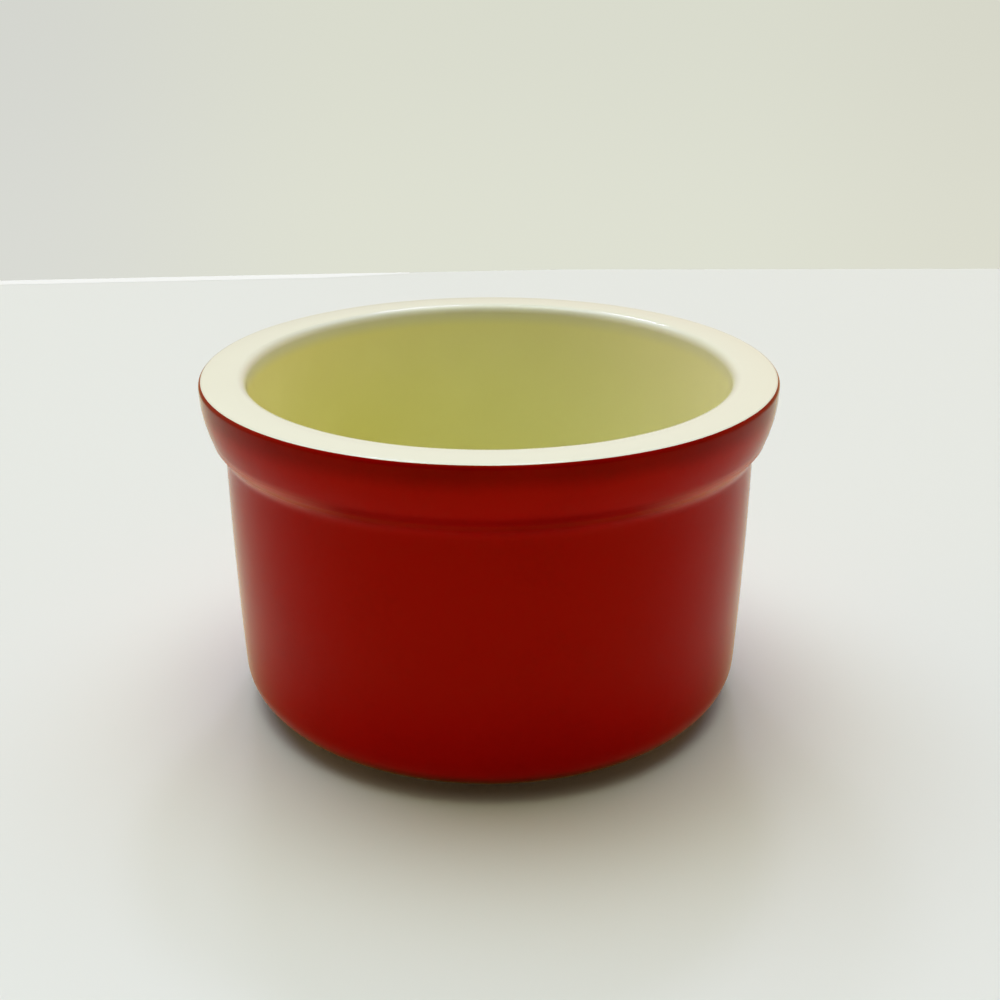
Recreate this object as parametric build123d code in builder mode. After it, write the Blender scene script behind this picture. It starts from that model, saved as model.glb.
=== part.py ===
from build123d import *
import os
from math import cos, radians, sin

os.makedirs("parts", exist_ok=True)

# A round oven ramekin of glazed stoneware: a thick straight-sided wall with a plain band under
# an almost flat rim, a rounded bottom corner and a bare foot ring. The origin is the centre of the
# plane that it stands on, and +Z is its axis. Lengths are millimetres, angles are degrees.
# Sizes are taken over the glaze, as on the finished pot, unless their comment says clay.

# Overall
overall_height = 54.6
band_diameter = 90.0  # the widest place

# Rim: an arc across the wall's top, highest midway between band and mouth
rim_width = 7.2  # from the band's face in to the top of the inner wall
crown_drop = 0.1  # from the highest line down to the corners, before they are rounded
shoulder_radius = 0.8  # outer edge of the rim
lip_radius = 1.6  # inner edge of the rim

# Band under the rim: straight at the top, then curving inwards to its lower edge
band_straight_depth = 1.2
band_depth = 9.0
band_tuck = 1.6  # how far the lower edge lies inside the band's face
band_overhang = 1.75  # how far the lower edge stands out from the wall
underside_drop = 1.85  # from the lower edge on down to where the underside meets the wall
band_edge_radius = 2.4
cove_radius = 3.2  # hollow where the underside meets the wall

# Outer wall, carried on down to the base as it was before the corner was rounded
wall_lean = 1.15  # how much nearer the axis its base is than its top
wall_swell = 0.28  # how far it stands out between the two
corner_radius = 6.65

# Inside
wall_base_thickness = 4.1  # where the inner and outer wall are carried on down to the base
floor_height = 6.4  # above the plane that the pot stands on
floor_corner_radius = 9.0

# Base, of bare clay at the foot ring
foot_setback = 0.65  # flat clay between the rounded corner and the ring
foot_width = 4.2
foot_height = 1.4  # of the ring, below the clay base outside it
foot_draft = 0.4  # how much wider the ring is on each side where it leaves the base
foot_edge_radius = 0.6
recess_height = 2.4  # of the glazed underside inside the ring
recess_corner_radius = 1.2

# Glaze
glaze_thickness = 0.4
colour_line_angle = 32.0  # where red meets cream on the shoulder's arc, from the vertical
coat_stop_angle = 65.0  # where the red coat ends on the bottom corner's arc, below the horizontal
disc_stop_angle = 20.0  # where the red disc ends on the recess corner's arc, above the horizontal
glaze_edge_radius = 0.3  # rounding of a free glaze edge

# Cuts and zones run this far past what they cut
overrun = 5.0

# Radii of the finished pot, each worked out from the one outside it
band_radius = band_diameter / 2
mouth_radius = band_radius - rim_width
band_lower_radius = band_radius - band_tuck
wall_top_radius = band_lower_radius - band_overhang
wall_base_radius = wall_top_radius - wall_lean
floor_radius = wall_base_radius - wall_base_thickness
foot_root_radius = wall_base_radius - corner_radius - foot_setback
foot_outer_radius = foot_root_radius - foot_draft
foot_inner_radius = foot_outer_radius - foot_width

# Clay sizes: the finished ones less the glaze
clay_rim = overall_height - glaze_thickness
clay_band = band_radius - glaze_thickness
clay_mouth = mouth_radius + glaze_thickness
clay_band_lower = band_lower_radius - glaze_thickness
clay_wall_top = wall_top_radius - glaze_thickness
clay_wall_base = wall_base_radius - glaze_thickness
clay_floor = floor_height - glaze_thickness
clay_floor_radius = floor_radius + glaze_thickness
clay_recess = recess_height + glaze_thickness

# Corners of the clay's half section, before they are rounded
floor_corner = Vector(clay_floor_radius, clay_floor)
lip_corner = Vector(clay_mouth, clay_rim - crown_drop)
crown_top = Vector((clay_mouth + clay_band) / 2, clay_rim)
shoulder_corner = Vector(clay_band, clay_rim - crown_drop)
band_straight_end = Vector(clay_band, overall_height - band_straight_depth)
band_corner = Vector(clay_band_lower, overall_height - band_depth)
cove_corner = Vector(clay_wall_top, band_corner.Y - underside_drop)
bottom_corner = Vector(clay_wall_base, foot_height)
foot_root = Vector(foot_root_radius, foot_height)
foot_outer_edge = Vector(foot_outer_radius, 0)
foot_inner_edge = Vector(foot_inner_radius, 0)
recess_corner = Vector(foot_inner_radius - foot_draft, clay_recess)


def nearest(corners, point):
    """The one of the corners that lies nearest to a point of the section."""
    return min(corners, key=lambda corner: (Vector(corner) - point).length)


# Half section of the clay, from the middle of the floor over the rim and round to the underside
with BuildSketch(Plane.XZ) as clay_section:
    with BuildLine():
        Polyline((0, clay_floor), floor_corner, lip_corner)
        ThreePointArc(lip_corner, crown_top, shoulder_corner)
        Line(shoulder_corner, band_straight_end)
        TangentArc(band_straight_end, band_corner, tangent=(0, -1))
        Line(band_corner, cove_corner)
        SagittaArc(cove_corner, bottom_corner, -wall_swell)
        Polyline(bottom_corner, foot_root, foot_outer_edge, foot_inner_edge, recess_corner)
        Polyline(recess_corner, (0, clay_recess), (0, clay_floor))
    make_face()
    for corner, radius in (
        (floor_corner, floor_corner_radius + glaze_thickness),
        (lip_corner, lip_radius - glaze_thickness),
        (shoulder_corner, shoulder_radius - glaze_thickness),
        (band_corner, band_edge_radius - glaze_thickness),
        (cove_corner, cove_radius + glaze_thickness),
        (bottom_corner, corner_radius - glaze_thickness),
        (foot_outer_edge, foot_edge_radius),
        (foot_inner_edge, foot_edge_radius),
        (recess_corner, recess_corner_radius + glaze_thickness),
    ):
        fillet(nearest(clay_section.vertices(), corner), radius=radius)

# The same outline with the glaze laid on it all round, at an even thickness
with BuildSketch(Plane.XZ) as glazed_section:
    add(clay_section.sketch_local)
    offset(amount=glaze_thickness)


def rounding_centre(section, corner):
    """The centre of the arc that rounds a corner of the section."""
    arcs = section.sketch_local.edges().filter_by(GeomType.CIRCLE)
    return min(arcs, key=lambda arc: (arc @ 0.5 - corner).length).arc_center


def ray_end(centre, angle, length):
    """The point at that length from the centre, at an angle up from the horizontal."""
    return centre + Vector(cos(radians(angle)), sin(radians(angle))) * length


# Where one glaze gives way to the other on the rim's shoulder: a short cut square to the surface
shoulder_centre = rounding_centre(clay_section, shoulder_corner)
past_colour_line = ray_end(shoulder_centre, 90 - colour_line_angle, shoulder_radius + overrun)

# Where the red coat ends on the bottom corner, and the red disc on the recess corner
corner_centre = rounding_centre(clay_section, bottom_corner)
coat_stop = ray_end(corner_centre, -coat_stop_angle, corner_radius)
past_coat_stop = ray_end(corner_centre, -coat_stop_angle, corner_radius + overrun)
recess_centre = rounding_centre(clay_section, recess_corner)
disc_stop = ray_end(recess_centre, disc_stop_angle, recess_corner_radius)
past_disc_stop = ray_end(recess_centre, disc_stop_angle, recess_corner_radius + overrun)

# Middle of the clay, where the zones' edges run without touching a glaze
middle_of_floor = (clay_floor + clay_recess) / 2
middle_of_wall_foot = Vector((clay_floor_radius + clay_wall_base) / 2, clay_floor)
middle_of_wall_top = Vector((clay_mouth + clay_wall_top) / 2, cove_corner.Y)

# The zone of the cream: from the middle of the floor up inside the wall to the colour line
with BuildSketch(Plane.XZ) as lining_zone:
    with BuildLine():
        Polyline(
            (0, middle_of_floor),
            (corner_centre.X, middle_of_floor),
            middle_of_wall_foot,
            middle_of_wall_top,
            shoulder_centre,
            past_colour_line,
            (0, past_colour_line.Y),
            close=True,
        )
    make_face()

# The zone that is wiped clean before firing: the foot ring and the clay beside it
with BuildSketch(Plane.XZ) as bare_zone:
    with BuildLine():
        Polyline(
            corner_centre,
            past_coat_stop,
            (past_coat_stop.X, past_coat_stop.Y - overrun),
            (recess_centre.X, past_coat_stop.Y - overrun),
            recess_centre,
            past_disc_stop,
            close=True,
        )
    make_face()

# The half plane that is turned about the axis
with BuildSketch(Plane.XZ) as turned_half:
    Rectangle(band_diameter, overall_height + overrun, align=(Align.MIN, Align.MIN))

# What is left of the red glaze outside those zones: the outer coat, and the disc under the floor
with BuildSketch(Plane.XZ) as red_sections:
    add(glazed_section.sketch_local)
    add(turned_half.sketch_local, mode=Mode.INTERSECT)
    add(clay_section.sketch_local, mode=Mode.SUBTRACT)
    add(lining_zone.sketch_local, mode=Mode.SUBTRACT)
    add(bare_zone.sketch_local, mode=Mode.SUBTRACT)
disc_section, coat_section = red_sections.sketch_local.faces().sort_by(Axis.X)

# Clay: floor, wall, band, rim and foot ring in one
with BuildPart() as stoneware_body:
    add(clay_section.sketch)
    revolve(axis=Axis.Z)
stoneware_body.part.label = "stoneware_body"
export_step(stoneware_body.part, "parts/stoneware_body.step")

# Cream lining: the floor, the inner wall and the rim's top, out to the colour line
with BuildPart() as cream_inner_glaze:
    with BuildSketch(Plane.XZ) as lining_section:
        add(glazed_section.sketch_local)
        add(clay_section.sketch_local, mode=Mode.SUBTRACT)
        add(lining_zone.sketch_local, mode=Mode.INTERSECT)
    revolve(axis=Axis.Z)
cream_inner_glaze.part.label = "cream_inner_glaze"
export_step(cream_inner_glaze.part, "parts/cream_inner_glaze.step")

# Red coat: shoulder, band, cove, wall and bottom corner, with a rounded edge above the foot
with BuildPart() as red_outer_glaze:
    with BuildSketch(Plane.XZ) as outer_section:
        add(coat_section)
        fillet(nearest(outer_section.vertices(), coat_stop), radius=glaze_edge_radius)
    revolve(axis=Axis.Z)
red_outer_glaze.part.label = "red_outer_glaze"
export_step(red_outer_glaze.part, "parts/red_outer_glaze.step")

# Red disc in the recess: it turns down into the corner beside the ring and ends there
with BuildPart() as red_underside_glaze:
    with BuildSketch(Plane.XZ) as underside_section:
        add(disc_section)
        fillet(nearest(underside_section.vertices(), disc_stop), radius=glaze_edge_radius)
    revolve(axis=Axis.Z)
red_underside_glaze.part.label = "red_underside_glaze"
export_step(red_underside_glaze.part, "parts/red_underside_glaze.step")
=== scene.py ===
from math import atan2, ceil, copysign, cos, hypot, pi, radians, sin, tan, tau

import bpy
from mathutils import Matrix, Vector, noise


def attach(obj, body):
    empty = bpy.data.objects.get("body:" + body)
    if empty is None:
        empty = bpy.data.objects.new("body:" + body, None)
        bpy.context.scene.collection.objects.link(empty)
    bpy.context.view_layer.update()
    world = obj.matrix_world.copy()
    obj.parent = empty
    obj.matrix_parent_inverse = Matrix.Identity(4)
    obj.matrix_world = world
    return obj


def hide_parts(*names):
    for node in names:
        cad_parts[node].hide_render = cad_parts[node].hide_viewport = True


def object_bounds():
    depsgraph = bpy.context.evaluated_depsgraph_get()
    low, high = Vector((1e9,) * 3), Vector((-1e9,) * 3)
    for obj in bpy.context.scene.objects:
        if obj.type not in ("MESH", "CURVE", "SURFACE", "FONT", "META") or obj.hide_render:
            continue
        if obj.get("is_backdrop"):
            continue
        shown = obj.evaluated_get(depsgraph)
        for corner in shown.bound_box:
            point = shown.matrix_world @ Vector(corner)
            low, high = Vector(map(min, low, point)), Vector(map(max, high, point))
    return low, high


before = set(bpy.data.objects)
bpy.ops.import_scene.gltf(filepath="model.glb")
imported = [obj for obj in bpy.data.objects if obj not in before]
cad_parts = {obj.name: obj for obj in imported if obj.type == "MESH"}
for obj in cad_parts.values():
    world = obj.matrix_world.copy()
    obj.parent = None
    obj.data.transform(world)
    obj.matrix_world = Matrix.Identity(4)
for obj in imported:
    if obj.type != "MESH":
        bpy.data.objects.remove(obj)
cad_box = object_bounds()

# The ramekin's looks: its clay and its three coats of glaze, turned from one section of the clay.
# Lengths are metres, written as millimetres times mm, and angles are degrees.
mm = 0.001

# Sizes over the glaze, as in the part's source, the first two read from the frame
overall_height = cad_box[1].z
band_radius = cad_box[1].x
rim_width = 7.2 * mm
crown_drop = 0.1 * mm
shoulder_radius = 0.8 * mm
lip_radius = 1.6 * mm
band_straight_depth = 1.2 * mm
band_depth = 9.0 * mm
band_tuck = 1.6 * mm
band_overhang = 1.75 * mm
underside_drop = 1.85 * mm
band_edge_radius = 2.4 * mm
cove_radius = 3.2 * mm
wall_lean = 1.15 * mm
wall_swell = 0.28 * mm
corner_radius = 6.65 * mm
wall_base_thickness = 4.1 * mm
floor_height = 6.4 * mm
floor_corner_radius = 9.0 * mm
foot_setback = 0.65 * mm
foot_width = 4.2 * mm
foot_height = 1.4 * mm
foot_draft = 0.4 * mm
foot_edge_radius = 0.6 * mm
recess_height = 2.4 * mm
recess_corner_radius = 1.2 * mm
glaze_thickness = 0.4 * mm
colour_line_angle = 32.0
coat_stop_angle = 65.0
disc_stop_angle = 20.0

# One softened corner that the solids don't have: where the foot ring meets the clay beside it
foot_root_radius = 0.35 * mm

# How finely the section and the turn are divided
turn_steps = 240
run_step = 2.0 * mm  # along a side of the section
rounding_step = 9.0  # round a corner of it
rounding_least_steps = 3
edge_steps = 5  # round a free edge of a coat
smooth_below = 40.0  # faces that meet at less than this angle are shaded as one
axis_reach = 1e-7  # points of the section nearer to the axis than this lie on it

# Rounds of moving an arc's centre until it lies at the same distance from both sides
centring_rounds = 8

# Unevenness of real ware: all of it goes inwards, so nothing leaves the sizes above
warp_depth = 0.09 * mm
warp_size = 34 * mm
glaze_thinning = 0.05 * mm
glaze_thinning_size = 9 * mm
colour_line_wander = 3.0
colour_line_wave = 16 * mm

# How far a free edge of a coat runs out along the clay, as a share of its thickness
nose_share = 0.6

# Clay sizes: the finished ones less the glaze
clay_rim = overall_height - glaze_thickness
clay_band = band_radius - glaze_thickness
clay_mouth = band_radius - rim_width + glaze_thickness
clay_band_lower = clay_band - band_tuck
clay_wall_top = clay_band_lower - band_overhang
clay_wall_base = clay_wall_top - wall_lean
clay_floor = floor_height - glaze_thickness
clay_floor_radius = clay_wall_base - wall_base_thickness + 2 * glaze_thickness
clay_recess = recess_height + glaze_thickness
foot_root = clay_wall_base + glaze_thickness - corner_radius - foot_setback
foot_outer = foot_root - foot_draft
foot_inner = foot_outer - foot_width
recess_wall = foot_inner - foot_draft
band_straight_end = overall_height - band_straight_depth
band_end = overall_height - band_depth
underside_end = overall_height - band_depth - underside_drop
band_fall = hypot(band_tuck, band_depth - band_straight_depth)
band_bulge = band_fall / 2 * tan(atan2(band_tuck, band_depth - band_straight_depth) / 2)

# Corners of the clay's half section: how far out, how high, rounding radius, bulge of the side
# that follows
corners = {
    "floor_middle": (0, clay_floor, 0, 0),
    "floor": (clay_floor_radius, clay_floor, floor_corner_radius + glaze_thickness, 0),
    "lip": (clay_mouth, clay_rim - crown_drop, lip_radius - glaze_thickness, crown_drop),
    "shoulder": (clay_band, clay_rim - crown_drop, shoulder_radius - glaze_thickness, 0),
    "band_straight_end": (clay_band, band_straight_end, 0, band_bulge),
    "band": (clay_band_lower, band_end, band_edge_radius - glaze_thickness, 0),
    "cove": (clay_wall_top, underside_end, cove_radius + glaze_thickness, wall_swell),
    "bottom": (clay_wall_base, foot_height, corner_radius - glaze_thickness, 0),
    "foot_root": (foot_root, foot_height, foot_root_radius, 0),
    "foot_outer": (foot_outer, 0, foot_edge_radius, 0),
    "foot_inner": (foot_inner, 0, foot_edge_radius, 0),
    "recess": (recess_wall, clay_recess, recess_corner_radius + glaze_thickness, 0),
    "recess_middle": (0, clay_recess, 0, 0),
}


class Run:
    """One side of the section from corner to corner, straight or bulging outwards."""

    def __init__(self, start, end, bulge):
        chord = end - start
        self.start = start
        self.outward = Vector((-chord.y, chord.x)).normalized()
        self.centre = None
        if bulge:
            self.radius = (chord.length_squared / 4 + bulge**2) / (2 * bulge)
            self.centre = (start + end) / 2 + self.outward * (bulge - self.radius)

    def clearance(self, point):
        """How far outside this side a point lies, and the direction that leads straight out."""
        if self.centre is None:
            return (point - self.start).dot(self.outward), self.outward
        spoke = point - self.centre
        return spoke.length - self.radius, spoke.normalized()

    def stations(self, start, end):
        """Points between two places on this side, each with its outward direction."""
        count = ceil((end - start).length / run_step)
        for i in range(1, count):
            point = start.lerp(end, i / count)
            distance, outward = self.clearance(point)
            yield point - outward * distance, outward


class Rounding:
    """The arc that rounds the corner between two sides."""

    def __init__(self, corner, before, after, radius):
        self.reach = copysign(radius, before.outward.cross(after.outward))
        bisector = before.outward + after.outward
        self.centre = corner + bisector * self.reach / (1 + before.outward.dot(after.outward))
        for _ in range(centring_rounds):
            a, a_out = before.clearance(self.centre)
            b, b_out = after.clearance(self.centre)
            a, b = self.reach - a, self.reach - b
            step = Vector((a * b_out.y - b * a_out.y, b * a_out.x - a * b_out.x))
            self.centre += step / a_out.cross(b_out)
        self.first, self.last = a_out, b_out
        steps = ceil(a_out.angle(b_out) / radians(rounding_step))
        self.count = max(steps, rounding_least_steps)

    def stations(self, first, last):
        """Points on the arc, each with its outward direction. A direction that is given takes
        the place of the arc's own first or last one."""
        first, last = first or self.first, last or self.last
        for i in range(self.count + 1):
            outward = first.slerp(last, i / self.count)
            yield self.centre - outward * self.reach, outward


corner_names = list(corners)
places = [Vector((out, up)) for out, up, _, _ in corners.values()]
radii = [radius for _, _, radius, _ in corners.values()]
bulges = [bulge for _, _, _, bulge in corners.values()]
sides = [Run(*ends) for ends in zip(places, places[1:], bulges)]
roundings = [
    Rounding(places[i], sides[i - 1], sides[i], radius) if radius else None
    for i, radius in enumerate(radii)
]


def direction(angle):
    """A direction of the section, at an angle up from the horizontal."""
    return Vector((cos(radians(angle)), sin(radians(angle))))


def stretch(first, last, leaving=None, reaching=None):
    """Stations of the clay from one corner to another. A coat that starts or ends on a
    rounding does so where the surface faces the direction that is given."""
    first, last = corner_names.index(first), corner_names.index(last)
    found = []
    for i in range(first, last + 1):
        if roundings[i]:
            start = leaving if i == first else None
            end = reaching if i == last else None
            arc = list(roundings[i].stations(start, end))
        else:
            arc = [(places[i], sides[min(i, len(sides) - 1)].outward)]
        if i > first:
            found += sides[i - 1].stations(found[-1][0], arc[0][0])
        found += arc
    return found


def unevenness(size, angle, height):
    """Smooth noise from 0 to 1 round the pot, with bumps of about that size."""
    where = Vector((cos(angle), sin(angle), 0)) * band_radius + Vector((0, 0, height))
    return min(max(noise.noise(where / size) * 0.5 + 0.5, 0), 1)


def placed(point, angle):
    """A point of the section at its angle round the axis, drawn in by the ware's unevenness."""
    give = warp_depth * unevenness(warp_size, angle, point.y) / band_radius
    rim_give = warp_depth * unevenness(warp_size, angle, overall_height) / overall_height
    radius = point.x * (1 - give)
    return Vector((radius * cos(angle), radius * sin(angle), point.y * (1 - rim_give)))


def turned(name, section_at, material, nodes):
    """A closed piece turned from a section, which may differ a little at each angle."""
    angles = [tau * i / turn_steps for i in range(turn_steps)]
    sections = [section_at(angle) for angle in angles]
    points, rings = [], []
    for k in range(len(sections[0])):
        on_axis = all(section[k].x < axis_reach for section in sections)
        ring = [placed(section[k], angle) for section, angle in zip(sections, angles)]
        ring = ring[:1] if on_axis else ring
        rings.append(range(len(points), len(points) + len(ring)))
        points += ring
    faces = []
    for a, b in zip(rings, rings[1:] + rings[:1]):
        for i in range(turn_steps):
            j = (i + 1) % turn_steps
            if len(a) > 1 and len(b) > 1:
                faces.append((a[i], b[i], b[j], a[j]))
            elif len(b) > 1:
                faces.append((a[0], b[i], b[j]))
            elif len(a) > 1:
                faces.append((a[i], b[0], a[j]))
    mesh = bpy.data.meshes.new(name)
    mesh.from_pydata(points, [], faces)
    mesh.polygons.foreach_set("use_smooth", [True] * len(mesh.polygons))
    mesh.set_sharp_from_angle(angle=radians(smooth_below))
    mesh.materials.append(material)
    piece = bpy.data.objects.new(name, mesh)
    bpy.context.scene.collection.objects.link(piece)
    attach(piece, "root")
    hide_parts(*nodes)


def coat(stations, angle, round_first, round_last):
    """The section of a coat of glaze on the clay: its outside with softened ends, then its back."""
    outside = []
    for point, outward in stations:
        thin = glaze_thinning * unevenness(glaze_thinning_size, angle, point.y + point.x)
        outside.append(point + outward * (glaze_thickness - thin))
    for end, wanted in ((0, round_first), (-1, round_last)):
        if not wanted:
            continue
        point, outward = stations[end]
        thickness = (outside[end] - point).length
        along = (stations[end][0] - stations[1 if end == 0 else -2][0]).normalized()
        nose = [
            point + outward * thickness * cos(t) + along * thickness * nose_share * sin(t)
            for t in (pi / 2 * i / edge_steps for i in range(1, edge_steps))
        ]
        outside = nose[::-1] + outside if end == 0 else outside + nose
    back = [point for point, _ in stations]
    back = [back[0], *back[2:-2:2], back[-1]]
    return outside + back[::-1]


def colour_line_at(angle):
    """The direction in which the shoulder faces at the colour line, which wanders a little."""
    wander = colour_line_wander * (2 * unevenness(colour_line_wave, angle, band_radius) - 1)
    return direction(90 - colour_line_angle - wander)


def lining_section(angle):
    stations = stretch("floor_middle", "shoulder", reaching=colour_line_at(angle))
    return coat(stations, angle, False, False)


def coat_section(angle):
    coat_stop = direction(-coat_stop_angle)
    stations = stretch("shoulder", "bottom", leaving=colour_line_at(angle), reaching=coat_stop)
    return coat(stations, angle, False, True)


def disc_section(angle):
    stations = stretch("recess", "recess_middle", leaving=-direction(disc_stop_angle))
    return coat(stations, angle, True, False)


def clay_section(_):
    return [point for point, _ in stretch("floor_middle", "recess_middle")]


class Nodes:
    """Short calls for building a node tree."""

    def __init__(self, tree):
        self.tree = tree
        tree.nodes.clear()

    def add(self, kind, **settings):
        node = self.tree.nodes.new(kind)
        for name, value in settings.items():
            setattr(node, name, value)
        return node

    def link(self, source, target):
        self.tree.links.new(source, target)

    def put(self, target, value):
        """Feeds a socket from another socket, or sets it to a value."""
        if isinstance(value, bpy.types.NodeSocket):
            self.link(value, target)
        else:
            target.default_value = value

    def maths(self, operation, a, b=0.0, clamp=False):
        node = self.add("ShaderNodeMath", operation=operation, use_clamp=clamp)
        self.put(node.inputs[0], a)
        self.put(node.inputs[1], b)
        return node.outputs[0]

    def vector(self, operation, a, b=(0, 0, 0)):
        node = self.add("ShaderNodeVectorMath", operation=operation)
        self.put(node.inputs[0], a)
        self.put(node.inputs[1], b)
        return node

    def along(self, vector, letter):
        """A vector's X, Y or Z."""
        split = self.add("ShaderNodeSeparateXYZ")
        self.link(vector, split.inputs[0])
        return split.outputs[letter]

    def spread(self, value, low, high, to_low=0.0, to_high=1.0):
        """A value carried smoothly from one range to another."""
        node = self.add("ShaderNodeMapRange", interpolation_type="SMOOTHSTEP")
        self.put(node.inputs["Value"], value)
        limits = {"From Min": low, "From Max": high, "To Min": to_low, "To Max": to_high}
        for name, limit in limits.items():
            node.inputs[name].default_value = limit
        return node.outputs["Result"]

    def place(self):
        return self.add("ShaderNodeTexCoord").outputs["Object"]

    def grain(self, size, detail=2.0):
        """Noise from 0 to 1 with spots of about that size in metres."""
        node = self.add("ShaderNodeTexNoise")
        self.link(self.place(), node.inputs["Vector"])
        node.inputs["Scale"].default_value = 1 / size
        node.inputs["Detail"].default_value = detail
        return node.outputs["Fac"]

    def mottle(self, size, low, high, detail=2.0, span=(0.3, 0.7)):
        """Spots of about that size in metres, between two values. The noise reaches them at the
        ends of the span."""
        return self.spread(self.grain(size, detail), *span, low, high)

    def blend(self, share, a, b):
        node = self.add("ShaderNodeMix", data_type="RGBA")
        self.put(node.inputs["Factor"], share)
        self.put(node.inputs["A"], a)
        self.put(node.inputs["B"], b)
        return node.outputs["Result"]


def surface(name):
    """A new material with its node builder and its main shader."""
    material = bpy.data.materials.new(name)
    material.use_nodes = True
    nodes = Nodes(material.node_tree)
    output = nodes.add("ShaderNodeOutputMaterial")
    shader = nodes.add("ShaderNodeBsdfPrincipled")
    nodes.link(shader.outputs[0], output.inputs["Surface"])
    return material, nodes, shader


def rgba(colour):
    return (*colour, 1.0)


def rippled(nodes, shader, layers):
    """Bumps of several sizes on a shader, each given as its size and its depth in metres."""
    normal = None
    for size, depth in layers:
        bump = nodes.add("ShaderNodeBump")
        bump.inputs["Distance"].default_value = depth
        nodes.link(nodes.grain(size), bump.inputs["Height"])
        if normal:
            nodes.link(normal, bump.inputs["Normal"])
        normal = bump.outputs["Normal"]
    nodes.link(normal, shader.inputs["Normal"])


# Red glaze: its colour where it is thin, its darker colour for thick spots and for painted shade,
# the painted shade at the free edge, and the painted highlight in the cove's stripe
red_thin = (0.430, 0.0022, 0.0012)
red_thick_and_shaded = (0.22, 0.0003, 0.0002)
red_edge_shade = (0.07, 0.0002, 0.0001)
red_cove_highlight = (0.62, 0.11, 0.06)
red_edge_shade_heights = (5.4 * mm, 2.2 * mm)  # from here down to here it darkens to the edge's colour

# How much of the darker colour it takes as painted shade at the shoulder, near the foot and in the
# cove
red_shoulder_shade = 0.75
red_shoulder_shade_heights = (clay_rim - 4.4 * mm, clay_rim - 1.2 * mm)
red_foot_shade = 0.15
red_foot_shade_heights = (corner_radius * 2.6, corner_radius * 0.5)
red_cove_shade = 0.6
red_cloud = 0.10
red_cloud_size = 14 * mm
red_fleck = 0.05
red_fleck_size = 0.9 * mm
red_fleck_span = (0.35, 0.75)

# The cove's band of heights, and how far from the middle plane it turns into the stripe of painted
# highlight
cove_above = (underside_end + 3.5 * mm, underside_end + 2.0 * mm)
cove_below = (underside_end - 1.0 * mm, underside_end + 0.8 * mm)
highlight_stripe_starts = (band_radius * 0.40, band_radius * 0.82)
highlight_stripe_ends = (band_radius * 0.97, band_radius * 0.90)

# How the red shines: less near the foot and in the cove, more in the stripe
red_ior = 1.15
red_gloss_heights = (corner_radius, corner_radius * 3.4)
red_gloss = (0.10, 0.5)
cove_gloss_loss = 0.4
stripe_gloss_gain = 0.3
red_shine = (1.0, 0.6, 0.05)
red_roughness = (0.05, 0.09)
cove_roughness = 0.25
red_haze = 0.36
red_haze_roughness = 0.28
red_haze_colour = (1.0, 0.80, 0.15)
red_ripples = ((7 * mm, 0.012 * mm), (1.6 * mm, 0.0016 * mm))

# Cream glaze: on the rim, high and low on the inner wall, where its yellow green is partly its own
# colour and partly painted shade that darkens downwards, and on its paler right side
cream_rim = (0.825, 0.83, 0.69)
cream_upper = (0.955, 0.93, 0.46)
cream_floor = (0.72, 0.685, 0.185)
cream_pale = (0.93, 0.94, 0.74)
cream_side = 0.65
cream_inside_heights = (clay_rim - 0.9 * mm, clay_rim - 3.6 * mm)
cream_inside_radii = (clay_mouth + 1.0 * mm, clay_mouth - 0.2 * mm)
cream_cloud = 0.08
cream_cloud_size = 16 * mm
cream_ior = 1.36
cream_roughness = (0.06, 0.11)
cream_ripples = ((6 * mm, 0.010 * mm), (1.4 * mm, 0.0014 * mm))

# Both glazes are rougher and smoother in spots of this size
glaze_spot_size = 5 * mm
cloud_detail = 3.0

# Bare clay with its specks
clay_pale = (0.62, 0.50, 0.36)
clay_dark = (0.50, 0.39, 0.27)
clay_cloud_size = 8 * mm
clay_cloud_detail = 4.0
clay_speck = (0.10, 0.05, 0.03)
clay_speck_spacing = 1.9 * mm
clay_speck_reach = (0.2, 0.12)
clay_speck_strength = 0.7
clay_roughness = 0.85
clay_ripples = ((0.9 * mm, 0.05 * mm), (0.25 * mm, 0.03 * mm))


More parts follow.
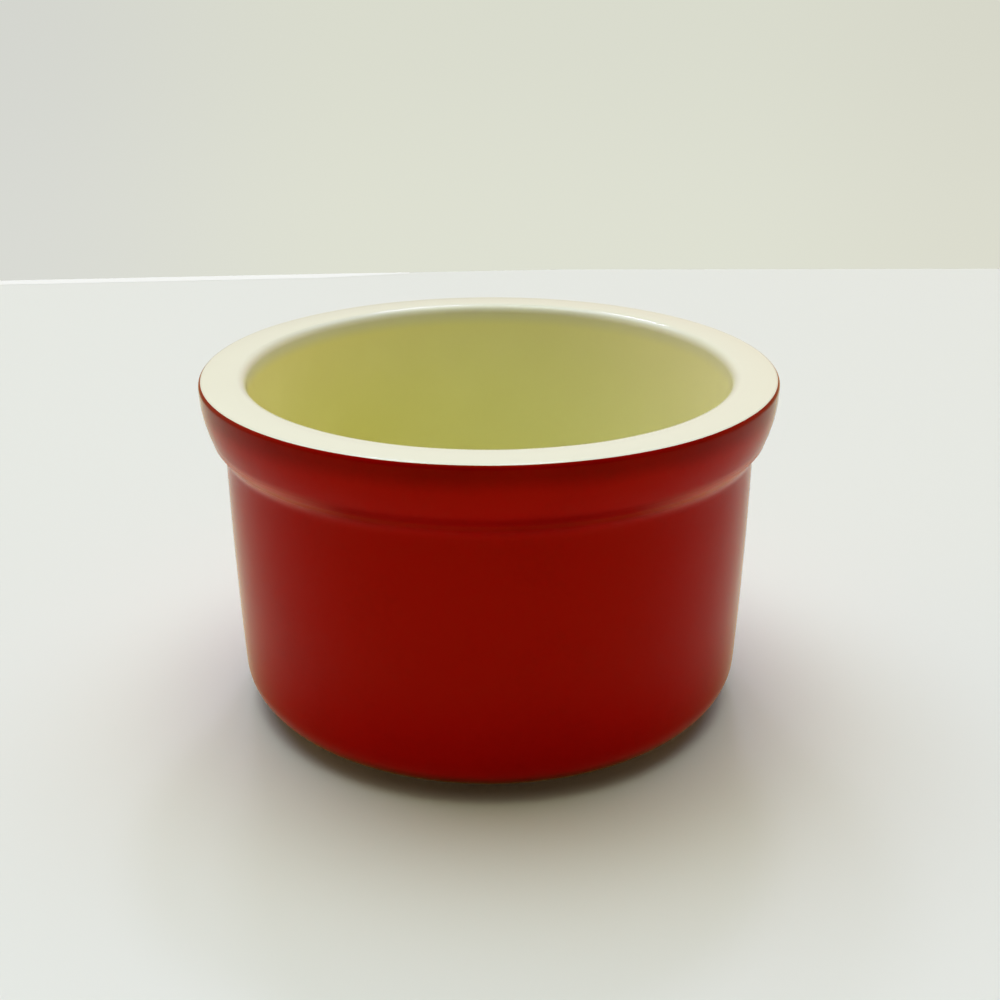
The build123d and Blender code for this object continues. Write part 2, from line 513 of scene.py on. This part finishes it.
def red_glaze():
    """Deep red glaze, darker in random thick spots, with painted shade at the shoulder, near the
    foot, in the cove and at the free edge, and a painted highlight in the cove's stripe.
    """
    material, nodes, shader = surface("red_glaze")
    height = nodes.along(nodes.place(), "Z")
    off_middle = nodes.maths("ABSOLUTE", nodes.along(nodes.place(), "X"))
    above = nodes.spread(height, *cove_above)
    below = nodes.spread(height, *cove_below)
    cove_band = nodes.maths("MULTIPLY", above, below)
    # Painted highlight: the cove turns a paler pink away from the middle plane, where the table's
    # reflection falls
    starting = nodes.spread(off_middle, *highlight_stripe_starts)
    ending = nodes.spread(off_middle, *highlight_stripe_ends)
    highlight_stripe = nodes.maths("MULTIPLY", cove_band, nodes.maths("MULTIPLY", starting, ending))
    cove_band = nodes.maths("SUBTRACT", cove_band, highlight_stripe)

    # Painted shade: the red darkens at the shoulder, near the foot and in the cove
    shoulder = nodes.spread(height, *red_shoulder_shade_heights)
    low = nodes.spread(height, *red_foot_shade_heights)
    painted_shade_share = nodes.maths("MULTIPLY", shoulder, red_shoulder_shade)
    painted_shade_share = nodes.maths("MAXIMUM", painted_shade_share, nodes.maths("MULTIPLY", low, red_foot_shade))
    painted_shade_share = nodes.maths("MAXIMUM", painted_shade_share, nodes.maths("MULTIPLY", cove_band, red_cove_shade))
    clouds = nodes.mottle(red_cloud_size, -red_cloud, red_cloud, cloud_detail)
    flecks = nodes.mottle(red_fleck_size, -red_fleck, red_fleck, cloud_detail, red_fleck_span)
    share = nodes.maths("ADD", nodes.maths("ADD", painted_shade_share, clouds), flecks, clamp=True)
    colour = nodes.blend(share, rgba(red_thin), rgba(red_thick_and_shaded))
    # The painted highlight of the cove's stripe
    colour = nodes.blend(highlight_stripe, colour, rgba(red_cove_highlight))
    # Painted shade: the red turns nearly black down to its free edge by the foot, over the shaded
    # table
    edge_shade = nodes.spread(height, *red_edge_shade_heights)
    nodes.link(nodes.blend(edge_shade, colour, rgba(red_edge_shade)), shader.inputs["Base Color"])

    shader.inputs["IOR"].default_value = red_ior
    gloss = nodes.spread(height, *red_gloss_heights, *red_gloss)
    gloss = nodes.maths("SUBTRACT", gloss, nodes.maths("MULTIPLY", cove_band, cove_gloss_loss))
    gloss = nodes.maths("ADD", gloss, nodes.maths("MULTIPLY", highlight_stripe, stripe_gloss_gain))
    nodes.link(gloss, shader.inputs["Specular IOR Level"])
    shader.inputs["Specular Tint"].default_value = rgba(red_shine)
    cove = nodes.maths("MULTIPLY", nodes.maths("ADD", cove_band, highlight_stripe), cove_roughness)
    rough = nodes.maths("ADD", nodes.mottle(glaze_spot_size, *red_roughness), cove)
    nodes.link(rough, shader.inputs["Roughness"])
    shader.inputs["Sheen Weight"].default_value = red_haze
    shader.inputs["Sheen Roughness"].default_value = red_haze_roughness
    shader.inputs["Sheen Tint"].default_value = rgba(red_haze_colour)
    rippled(nodes, shader, red_ripples)
    return material


def cream_glaze():
    """Cream glaze, pale on the rim and a deeper yellow green inside: partly the glaze pooled there,
    partly painted shade, which darkens it towards the floor.
    """
    material, nodes, shader = surface("cream_glaze")
    place = nodes.place()
    height = nodes.along(place, "Z")
    flat = nodes.vector("MULTIPLY", place, (1, 1, 0)).outputs["Vector"]
    radius = nodes.vector("LENGTH", flat).outputs["Value"]
    inside = nodes.spread(height, *cream_inside_heights)
    within = nodes.spread(radius, *cream_inside_radii)
    share = nodes.maths("MULTIPLY", inside, within)
    clouds = nodes.mottle(cream_cloud_size, -cream_cloud, cream_cloud, cloud_detail)
    # Painted shade: the inside darkens from the rim down to the floor
    depth = nodes.maths("ADD", nodes.spread(height, clay_rim, floor_height), clouds, clamp=True)
    deep = nodes.blend(depth, rgba(cream_upper), rgba(cream_floor))
    paler = nodes.spread(nodes.along(place, "X"), -clay_mouth, clay_mouth, 0.0, cream_side)
    deep = nodes.blend(paler, deep, rgba(cream_pale))
    nodes.link(nodes.blend(share, rgba(cream_rim), deep), shader.inputs["Base Color"])
    shader.inputs["IOR"].default_value = cream_ior
    nodes.link(nodes.mottle(glaze_spot_size, *cream_roughness), shader.inputs["Roughness"])
    rippled(nodes, shader, cream_ripples)
    return material


def bare_clay():
    """Unglazed fired stoneware: buff, with iron specks and a dry sandy surface."""
    material, nodes, shader = surface("clay")
    clouds = nodes.mottle(clay_cloud_size, 0.0, 1.0, clay_cloud_detail)
    body = nodes.blend(clouds, rgba(clay_pale), rgba(clay_dark))
    specks = nodes.add("ShaderNodeTexVoronoi", feature="F1")
    nodes.link(nodes.place(), specks.inputs["Vector"])
    specks.inputs["Scale"].default_value = 1 / clay_speck_spacing
    speck = nodes.spread(specks.outputs["Distance"], *clay_speck_reach)
    speck = nodes.maths("MULTIPLY", speck, clay_speck_strength)
    nodes.link(nodes.blend(speck, body, rgba(clay_speck)), shader.inputs["Base Color"])
    shader.inputs["Roughness"].default_value = clay_roughness
    rippled(nodes, shader, clay_ripples)
    return material


red, cream, clay = red_glaze(), cream_glaze(), bare_clay()
turned("ramekin_clay", clay_section, clay, ["stoneware_body"])
turned("cream_lining", lining_section, cream, ["cream_inner_glaze"])
turned("red_coat", coat_section, red, ["red_outer_glaze"])
turned("red_disc", disc_section, red, ["red_underside_glaze"])

# Camera, at the place and angle worked out from the photograph's outlines
camera_place = (0, -0.21012, 0.1166)
camera_down = 22.031  # how far it looks down from the horizontal
camera_turn = -0.452
camera_data = bpy.data.cameras.new("camera")
camera_data.lens = 50
camera_data.sensor_width = 36
camera_data.clip_start = 0.01
camera = bpy.data.objects.new("camera", camera_data)
camera.location = camera_place
camera.rotation_euler = (radians(90 - camera_down), 0, radians(camera_turn))
bpy.context.scene.collection.objects.link(camera)
bpy.context.scene.camera = camera
bpy.context.scene.view_settings.view_transform = "Standard"

# Table: a plain pale top that ends behind the pot in a slightly bent line, with a painted highlight
# along its edge on the left. Each point of the line is given as its place across and back.
table_colour = (0.750, 0.765, 0.720)
table_roughness = 0.55
table_ior = 1.3
table_side = 2.0
table_near = -1.5
table_far_line = (
    (-table_side, 0.105),
    (-0.179, 0.294),
    (-0.063, 0.3042),
    (-0.030, 0.3065),
    (0.026, 0.311),
    (table_side, 0.311),
)
table_edge_highlight_colour = (0.88, 0.885, 0.86)
table_edge_highlight_widths = (0.0068, 0.0068, 0.0068, 0.0020)
table_edge_highlight_lift = 0.00003


def laid(name, outline, height, colour):
    """A flat sheet of the table, given by its outline seen from above."""
    mesh = bpy.data.meshes.new(name)
    mesh.from_pydata([(x, y, height) for x, y in outline], [], [tuple(range(len(outline)))])
    sheet = bpy.data.objects.new(name, mesh)
    bpy.context.scene.collection.objects.link(sheet)
    sheet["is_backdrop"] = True
    material, _, shader = surface(name)
    shader.inputs["Base Color"].default_value = rgba(colour)
    shader.inputs["Roughness"].default_value = table_roughness
    shader.inputs["IOR"].default_value = table_ior
    mesh.materials.append(material)


near_edge = ((-table_side, table_near), (table_side, table_near))
laid("table", near_edge + table_far_line[::-1], 0, table_colour)
# A paler strip along the far edge on the left: a painted highlight
edge_near = tuple((x, y - width) for (x, y), width in zip(table_far_line, table_edge_highlight_widths))
edge_far = table_far_line[: len(edge_near)]
laid("table_edge_highlight", edge_near + edge_far[::-1], table_edge_highlight_lift, table_edge_highlight_colour)

# Surroundings: soft patches of light. Each has its direction, as degrees clockwise from behind
# the pot and degrees above the table, the angle that it fades out over, its strength and colour.
overhead_colour = (0.97, 1.0, 0.68)
window_colour = (0.86, 1.0, 1.38)
room_colour = (1.10, 1.0, 0.70)
low_colour = (1.36, 0.86, 0.50)
front_colour = (0.90, 1.03, 0.80)
behind_colour = (1.0, 1.0, 0.85)
patches = {
    "overhead": (0, 87, 28, 3.03, overhead_colour),
    "high_left": (-45, 62, 28, 2.45, window_colour),
    "high_right": (45, 62, 28, 1.58, window_colour),
    "left_above": (-45, 38, 50, 0.36, room_colour),
    "left": (-90, 8, 50, 0.50, low_colour),
    "back": (0, 8, 50, 0.26, low_colour),
    "back_right": (45, 8, 50, 0.30, low_colour),
    "right": (90, 8, 50, 0.30, low_colour),
    "front_right": (135, 8, 50, 0.12, low_colour),
    "front_above": (180, 72, 30, 0.62, front_colour),
    "behind": (0, 26, 26, 0.20, behind_colour),
}

# The backdrop as it is looked at, with its light and shade painted: cooler on the left, and a
# little darker upwards. The spans are parts of the direction that is looked in, across for the
# first two and upwards for the last.
backdrop_left = (0.695, 0.705, 0.660)
backdrop_middle = (0.735, 0.750, 0.645)
backdrop_right = (0.715, 0.720, 0.620)
backdrop_left_span = (-0.34, -0.08)
backdrop_right_span = (0.15, 0.34)
backdrop_upward_span = (-0.22, -0.03)
backdrop_top_level = 0.95

# Two distant lamps with a soft edge to their shadows
lamp_width = 7.0
lamp_colour = (1.0, 1.0, 1.42)


def towards(azimuth, elevation):
    """The direction at that angle clockwise from behind the pot and that angle above the table."""
    azimuth, elevation = radians(azimuth), radians(elevation)
    return Vector((sin(azimuth) * cos(elevation), cos(azimuth) * cos(elevation), sin(elevation)))


def surroundings():
    """The world: the patches light the pot, and the camera sees the backdrop in their place."""
    world = bpy.data.worlds.new("studio")
    bpy.context.scene.world = world
    world.use_nodes = True
    nodes = Nodes(world.node_tree)
    looking = nodes.add("ShaderNodeTexCoord").outputs["Generated"]
    lit = None
    for azimuth, elevation, reach, level, colour in patches.values():
        facing = nodes.vector("DOT_PRODUCT", looking, towards(azimuth, elevation)).outputs["Value"]
        strength = nodes.spread(facing, cos(radians(reach)), 1.0, 0.0, level)
        light = nodes.add("ShaderNodeBackground")
        nodes.link(strength, light.inputs["Strength"])
        light.inputs["Color"].default_value = rgba(colour)
        if lit:
            both = nodes.add("ShaderNodeAddShader")
            nodes.link(lit.outputs[0], both.inputs[0])
            nodes.link(light.outputs[0], both.inputs[1])
            light = both
        lit = light
    # Painted shade on the backdrop: cooler on the left and darker upwards
    across, upwards = nodes.along(looking, "X"), nodes.along(looking, "Z")
    from_left = nodes.spread(across, *backdrop_left_span)
    to_right = nodes.spread(across, *backdrop_right_span)
    backdrop = nodes.blend(from_left, rgba(backdrop_left), rgba(backdrop_middle))
    backdrop = nodes.blend(to_right, backdrop, rgba(backdrop_right))
    level = nodes.spread(upwards, *backdrop_upward_span, 1.0, backdrop_top_level)
    seen = nodes.add("ShaderNodeBackground")
    nodes.link(backdrop, seen.inputs["Color"])
    nodes.link(level, seen.inputs["Strength"])
    mixer = nodes.add("ShaderNodeMixShader")
    nodes.link(nodes.add("ShaderNodeLightPath").outputs["Is Camera Ray"], mixer.inputs["Fac"])
    nodes.link(lit.outputs[0], mixer.inputs[1])
    nodes.link(seen.outputs[0], mixer.inputs[2])
    output = nodes.add("ShaderNodeOutputWorld")
    nodes.link(mixer.outputs[0], output.inputs["Surface"])


def lamp(name, azimuth, elevation, strength):
    """A distant lamp that shines from that direction."""
    data = bpy.data.lights.new(name, "SUN")
    data.energy = strength
    data.angle = radians(lamp_width)
    data.color = lamp_colour
    light = bpy.data.objects.new(name, data)
    light.rotation_euler = towards(azimuth, elevation).to_track_quat("Z", "Y").to_euler()
    bpy.context.scene.collection.objects.link(light)


surroundings()
lamp("lamp_right", 6.8, 51.4, 0.21)
lamp("lamp_left", -11.4, 45.0, 0.14)

boxes = {"cad": cad_box, "visual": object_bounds()}
{name: [list(corner) for corner in box] for name, box in boxes.items()}
